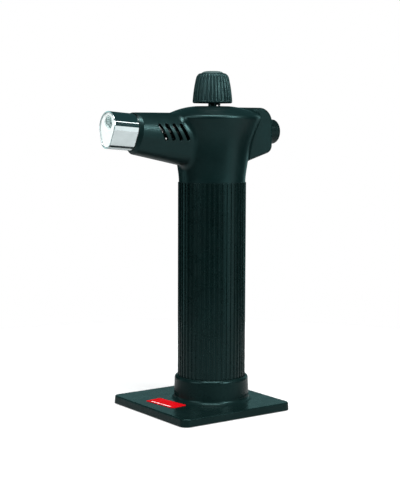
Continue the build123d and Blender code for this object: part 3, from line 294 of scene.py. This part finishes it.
MATERIALS = {
    "housing_plastic": moulded_plastic(
        "housing_plastic", (0.0007, 0.0034, 0.0034), (0.0014, 0.0060, 0.0060), 0.33, specular=0.24
    ),
    "grip_plastic": moulded_plastic(
        "grip_plastic", (0.0003, 0.0020, 0.0019), (0.0007, 0.0038, 0.0036), 0.27,
        specular=0.24, grain_depth=0.000002, edge_radius=0.00005
    ),
    "stand_plastic": moulded_plastic(
        "stand_plastic", (0.0010, 0.0040, 0.0039), (0.0021, 0.0066, 0.0064), 0.27,
        specular=0.12, grain_depth=0.0000025
    ),
    "knob_plastic": moulded_plastic(
        "knob_plastic", (0.0028, 0.0082, 0.0085), (0.0050, 0.0125, 0.0130), 0.28,
        specular=0.20, grain_depth=0.000004
    ),
    "cap_plastic": moulded_plastic(
        "cap_plastic", (0.024, 0.039, 0.038), (0.038, 0.057, 0.056), 0.42
    ),
    "button_plastic": moulded_plastic(
        "button_plastic", (0.0006, 0.0022, 0.0022), (0.0014, 0.0040, 0.0040), 0.28
    ),
    "inner_plastic": moulded_plastic("inner_plastic", (0.55, 0.53, 0.47), (0.68, 0.66, 0.60), 0.42),
    "clear_plastic": moulded_plastic("clear_plastic", (0.30, 0.34, 0.34), (0.42, 0.46, 0.46), 0.25),
    "chrome": chrome("chrome", (0.60, 0.67, 0.675), 0.05),
    "steel": turned_metal("steel", (0.58, 0.58, 0.57), (0.44, 0.44, 0.43), 0.30),
    "dark_steel": turned_metal("dark_steel", (0.20, 0.20, 0.20), (0.12, 0.12, 0.125), 0.38),
    "brass": turned_metal("brass", (0.78, 0.57, 0.27), (0.62, 0.42, 0.18), 0.28),
    "spring_steel": turned_metal("spring_steel", (0.50, 0.50, 0.48), (0.36, 0.35, 0.33), 0.26),
    "burner_ceramic": ceramic("burner_ceramic", (0.86, 0.88, 0.87), (0.70, 0.70, 0.66), 0.42),
    "port_ceramic": ceramic("port_ceramic", (0.84, 0.93, 0.92), (0.68, 0.75, 0.74), 0.5),
    "insulator_ceramic": ceramic("insulator_ceramic", (0.80, 0.79, 0.74), (0.58, 0.52, 0.44), 0.30),
    "rubber": rubber("rubber", (0.008, 0.008, 0.009), (0.022, 0.022, 0.023)),
    "wick_cotton": felt("wick_cotton", (0.52, 0.47, 0.38), (0.76, 0.72, 0.62)),
    "felt_filter": felt("felt_filter", (0.60, 0.58, 0.50), (0.78, 0.76, 0.70)),
    "label_red": label_print("label_red", (0.34, 0.0020, 0.0045), (0.28, 0.0016, 0.0035)),
    "label_white": label_print("label_white", (0.62, 0.58, 0.57), (0.54, 0.50, 0.50)),
    "lead_jacket": rubber("lead_jacket", (0.010, 0.011, 0.012), (0.024, 0.025, 0.026)),
}

NODE_FINISH = {
    "housing_left": "housing_plastic",
    "housing_right": "housing_plastic",
    "grip_sleeve": "grip_plastic",
    "grip_end_cap": "grip_plastic",
    "stand_base": "stand_plastic",
    "stand_pad": "rubber",
    "stand_label": "label_red",
    "flow_knob": "knob_plastic",
    "knob_cap": "cap_plastic",
    "knob_screw": "steel",
    "stop_pin": "dark_steel",
    "ignition_button": "button_plastic",
    "housing_screws": "dark_steel",
    "burner_barrel": "chrome",
    "burner_insert": "burner_ceramic",
    "barrel_bush": "inner_plastic",
    "burner_coupling": "steel",
    "flame_tube": "port_ceramic",
    "flame_holder": "port_ceramic",
    "mixing_tube": "dark_steel",
    "jet_holder": "brass",
    "gas_jet": "steel",
    "electrode": "steel",
    "electrode_insulator": "insulator_ceramic",
    "ignition_lead": "lead_jacket",
    "igniter_case": "inner_plastic",
    "igniter_plunger": "inner_plastic",
    "igniter_contact": "brass",
    "piezo_crystal": "insulator_ceramic",
    "hammer": "steel",
    "anvil": "steel",
    "hammer_spring": "spring_steel",
    "return_spring": "spring_steel",
    "refill_spring": "spring_steel",
    "fuel_tank": "clear_plastic",
    "tank_lid": "clear_plastic",
    "tank_seal": "rubber",
    "fuel_wick": "wick_cotton",
    "refill_body": "brass",
    "refill_stem": "brass",
    "refill_seal": "rubber",
    "valve_body": "brass",
    "valve_filter": "felt_filter",
    "valve_needle": "steel",
    "valve_spindle": "brass",
    "gland_nut": "brass",
    "spindle_seal": "rubber",
}


def dress(piece, finish):
    """Gives a piece its one material."""
    piece.data.materials.clear()
    piece.data.materials.append(MATERIALS[finish])


for name, piece in nodes.items():
    dress(piece, NODE_FINISH[name])


# ---------------------------------------------------------------- burner barrel

NOZZLE_TILT = radians(4.5)
NOZZLE_AXIS_Z = 0.15005
BARREL_TOP_R = 0.00775
BARREL_BOTTOM_R = 0.0054
BARREL_HALF_HEIGHT = 0.00985
BARREL_WALL = 0.0006
BARREL_BACK = 0.0436
BARREL_MOUTH = 0.0684
BARREL_EDGE_R = 0.00022
BARREL_SHARP = radians(50)
ROLL_STEPS = 4
ARC_STEPS = 48


def egg_ring(grow):
    """Points round the barrel's section: round top, tighter round bottom, straight flanks."""
    top_r = BARREL_TOP_R + grow
    bottom_r = BARREL_BOTTOM_R + grow
    top_z = BARREL_HALF_HEIGHT - BARREL_TOP_R
    bottom_z = BARREL_BOTTOM_R - BARREL_HALF_HEIGHT
    lean = asin((BARREL_TOP_R - BARREL_BOTTOM_R) / (top_z - bottom_z))
    ring = []
    for step in range(2 * ARC_STEPS + 1):
        turn = -lean + step * (pi + 2 * lean) / (2 * ARC_STEPS)
        ring.append((top_r * cos(turn), top_z + top_r * sin(turn)))
    for step in range(ARC_STEPS + 1):
        turn = pi + lean + step * (pi - 2 * lean) / ARC_STEPS
        ring.append((bottom_r * cos(turn), bottom_z + bottom_r * sin(turn)))
    return ring


def barrel_profile():
    """Stations as (distance along the nozzle, growth of the section), from outside to inside."""
    stations = [
        (BARREL_BACK, -BARREL_WALL),
        (BARREL_BACK, 0.0),
        (BARREL_BACK + BARREL_EDGE_R, 0.0),
        (BARREL_MOUTH - 2 * BARREL_EDGE_R, 0.0),
    ]
    for step in range(ROLL_STEPS + 1):
        turn = step * pi / 2 / ROLL_STEPS
        forward = BARREL_MOUTH - BARREL_EDGE_R * (1 - sin(turn))
        stations.append((forward, -BARREL_EDGE_R * (1 - cos(turn))))
    for step in range(1, ROLL_STEPS + 1):
        turn = step * pi / 2 / ROLL_STEPS
        forward = BARREL_MOUTH - BARREL_EDGE_R * (1 - cos(turn))
        stations.append((forward, -BARREL_WALL + BARREL_EDGE_R * (1 - sin(turn))))
    return stations


def barrel_shell():
    """Bright barrel with smooth flanks and a rolled mouth."""
    shell = bmesh.new()
    forward = Vector((cos(NOZZLE_TILT), 0, sin(NOZZLE_TILT)))
    upward = Vector((-sin(NOZZLE_TILT), 0, cos(NOZZLE_TILT)))
    start = Vector((0, 0, NOZZLE_AXIS_Z))
    rings = []
    for along, grow in barrel_profile():
        ring = []
        for side, rise in egg_ring(grow):
            place = start + forward * along + Vector((0, side, 0)) + upward * rise
            ring.append(shell.verts.new(place))
        rings.append(ring)
    for first, second in zip(rings, rings[1:] + rings[:1]):
        for index in range(len(first)):
            after = (index + 1) % len(first)
            shell.faces.new((first[index], first[after], second[after], second[index]))
    bmesh.ops.recalc_face_normals(shell, faces=shell.faces)
    piece = add_piece("barrel_shell", shell)
    piece.data.shade_smooth()
    piece.data.set_sharp_from_angle(angle=BARREL_SHARP)
    dress(piece, "chrome")
    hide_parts("burner_barrel")
    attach(piece, "torch")


barrel_shell()


# ---------------------------------------------------------------- springs

# Each spring with the joint that shortens it and the way along its axis to its fixed end
SPRINGS = (
    ("return_spring", "ignition_press", Vector((1, 0, 0))),
    ("hammer_spring", "ignition_press", Vector((1, 0, 0))),
    ("refill_spring", "refill_press", Vector((0, 0, 1))),
)


def closing_spring(node, joint, axis):
    """Coil in place of a rigid spring: a copy of its mesh on the torch, keeping the rigid spring's
    shape.
    """
    coil = bpy.data.objects.new(node + "_coil", nodes[node].data.copy())
    scene.collection.objects.link(coil)
    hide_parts(node)
    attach(coil, "torch")
    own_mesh(coil)


for spring in SPRINGS:
    closing_spring(*spring)


# ---------------------------------------------------------------- label marks

LABEL_TURN = radians(6.0)
MARK_FILM = 0.00003
MARK_CLEARANCE = 0.000005
MARK_HALF_WIDTH = 0.0004
MARK_ROW = 0.0036
# Where each bar starts and stops along the label, from its middle
MARK_SPANS = (
    (-0.0082, -0.0046),
    (-0.0040, -0.0012),
    (-0.0006, 0.0014),
    (0.0020, 0.0064),
    (0.0070, 0.0082),
)


def label_marks():
    """Plain white bars printed along the label's outer edge, in place of any lettering."""
    low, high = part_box("stand_label")
    centre = Vector(((low.x + high.x) / 2, (low.y + high.y) / 2, high.z + MARK_CLEARANCE))
    across_label = Vector((cos(LABEL_TURN), sin(LABEL_TURN), 0))
    along_label = Vector((-sin(LABEL_TURN), cos(LABEL_TURN), 0))
    marks = bmesh.new()
    for start, stop in MARK_SPANS:
        corners = []
        for side, end in ((-1, start), (1, start), (1, stop), (-1, stop)):
            across = across_label * (MARK_ROW + side * MARK_HALF_WIDTH)
            corners.append(marks.verts.new(centre + across + along_label * end))
        face = marks.faces.new(corners)
        lifted = bmesh.ops.extrude_face_region(marks, geom=[face])
        raised = [item for item in lifted["geom"] if isinstance(item, bmesh.types.BMVert)]
        bmesh.ops.translate(marks, verts=raised, vec=(0, 0, MARK_FILM))
    bmesh.ops.recalc_face_normals(marks, faces=marks.faces)
    piece = add_piece("label_marks", marks)
    dress(piece, "label_white")
    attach(piece, "stand")


label_marks()


# ---------------------------------------------------------------- stage, lights and camera

HEAD_CENTRE = Vector((0, 0, 0.15))
FLOOR_RADIUS = 0.29
FLOOR_SIDES = 96
# A little under the stand's pad, so that the two faces do not fight
FLOOR_Z = -0.0003
PAPER_TONES = ((0.28, 0.28, 0.28), (0.30, 0.30, 0.30))
# Glow of the paper in reflections, and to the camera, which should see it nearly white
GLOW_REFLECTED = 0.12
GLOW_SEEN = 0.62
# The world as the camera sees it, and as it lights and is reflected
SWEEP_COLOUR = (1.0, 1.0, 1.0, 1.0)
ROOM_COLOUR = (0.021, 0.062, 0.064, 1.0)


def studio_floor():
    """Round pale table top under the stand."""
    table = bmesh.new()
    bmesh.ops.create_circle(table, cap_ends=True, segments=FLOOR_SIDES, radius=FLOOR_RADIUS)
    floor = add_piece("floor", table)
    floor.location.z = FLOOR_Z
    paper = Finish("floor_paper", 0.9, specular=0.1)
    paper.colour(paper.mix(paper.between(paper.noise(0.4, detail=2.0), 0.3, 0.7), *PAPER_TONES))
    paper.set("Emission Color", (1.0, 1.0, 1.0, 1.0))
    seen = paper.node("ShaderNodeLightPath").outputs["Is Camera Ray"]
    glow = paper.between(seen, 0.0, 1.0, GLOW_REFLECTED, GLOW_SEEN)
    paper.link(glow, paper.shader.inputs["Emission Strength"])
    floor.data.materials.append(paper.material)


WHITE = (1.0, 1.0, 1.0)
# Name, degrees round from +X and up, metres away, wide and high, watts, tint
SOFTBOXES = (
    ("line_strip", 131, 31, 1.2, 0.5, 0.045, 0.42, WHITE),
    ("low_card", 126, -16, 1.2, 0.5, 0.80, 1.55, WHITE),
    ("boss_box", 103, 22, 0.7, 0.22, 0.20, 5.8, WHITE),
    ("front_box", 58, 66, 1.2, 1.0, 0.34, 33, WHITE),
    ("nozzle_box", 3, 20, 1.3, 0.7, 0.7, 9, WHITE),
    ("back_panel", 234, 5, 1.5, 0.8, 0.36, 0.48, (0.5, 1.0, 1.0)),
    ("right_panel", 203, 6, 1.5, 0.4, 1.0, 1.0, (0.55, 1.0, 1.0)),
    ("left_panel", 305, 0, 1.5, 0.3, 1.2, 1.6, (0.55, 1.0, 1.0)),
    ("rib_strip", 107, -4, 1.2, 0.10, 1.1, 1.0, (0.7, 1.0, 1.0)),
)


def softbox(name, around, up, distance, width, height, power, tint):
    """Rectangular area light round the torch, facing the head."""
    lean = radians(up)
    turn = radians(around)
    away = Vector((cos(turn) * cos(lean), sin(turn) * cos(lean), sin(lean)))
    light = bpy.data.lights.new(name, "AREA")
    light.shape = "RECTANGLE"
    light.size = width
    light.size_y = height
    light.energy = power
    light.color = tint
    lamp = bpy.data.objects.new(name, light)
    lamp.location = HEAD_CENTRE + away * distance
    lamp.rotation_euler = away.to_track_quat("Z", "Y").to_euler()
    lamp.visible_camera = False
    scene.collection.objects.link(lamp)


def top_light(strength, spread):
    """Even light from straight above, as from a ceiling of diffusers."""
    light = bpy.data.lights.new("top_light", "SUN")
    light.energy = strength
    light.angle = radians(spread)
    scene.collection.objects.link(bpy.data.objects.new("top_light", light))


def surroundings():
    """White paper sweep behind the torch, and a dim studio for what it reflects."""
    world = bpy.data.worlds.new("studio")
    scene.world = world
    world.use_nodes = True
    tree = world.node_tree
    sweep = tree.nodes["Background"]
    sweep.inputs["Color"].default_value = SWEEP_COLOUR
    room = tree.nodes.new("ShaderNodeBackground")
    room.inputs["Color"].default_value = ROOM_COLOUR
    seen = tree.nodes.new("ShaderNodeLightPath")
    either = tree.nodes.new("ShaderNodeMixShader")
    tree.links.new(seen.outputs["Is Camera Ray"], either.inputs["Fac"])
    tree.links.new(room.outputs["Background"], either.inputs[1])
    tree.links.new(sweep.outputs["Background"], either.inputs[2])
    tree.links.new(either.outputs["Shader"], tree.nodes["World Output"].inputs["Surface"])


CAMERA_AROUND = radians(53.967)
CAMERA_DISTANCE = 0.66697
CAMERA_HEIGHT = 0.15913
CAMERA_PITCH = radians(6.063)
CAMERA_TURN = radians(0.567)
CAMERA_ROLL = radians(0.188)
CAMERA_LENS = 86.07
CAMERA_NEAR = 0.05
CAMERA_FAR = 50


def camera():
    """Long lens at the height of the head, looking slightly down."""
    place = Vector(
        (CAMERA_DISTANCE * cos(CAMERA_AROUND), CAMERA_DISTANCE * sin(CAMERA_AROUND), CAMERA_HEIGHT)
    )
    heading = CAMERA_AROUND + CAMERA_TURN
    level = Vector((-cos(heading), -sin(heading), 0))
    forward = level * cos(CAMERA_PITCH) + Vector((0, 0, -sin(CAMERA_PITCH)))
    right = level.cross(Vector((0, 0, 1)))
    up = right.cross(forward)
    side = right * cos(CAMERA_ROLL) + up * sin(CAMERA_ROLL)
    top = up * cos(CAMERA_ROLL) - right * sin(CAMERA_ROLL)
    data = bpy.data.cameras.new("camera")
    data.lens = CAMERA_LENS
    data.clip_start = CAMERA_NEAR
    data.clip_end = CAMERA_FAR
    eye = bpy.data.objects.new("camera", data)
    eye.matrix_world = Matrix.Translation(place) @ Matrix((side, top, -forward)).transposed().to_4x4()
    scene.collection.objects.link(eye)
    scene.camera = eye


studio_floor()
surroundings()
top_light(strength=0.5, spread=38)
for box in SOFTBOXES:
    softbox(*box)
camera()
scene.view_settings.view_transform = "Standard"
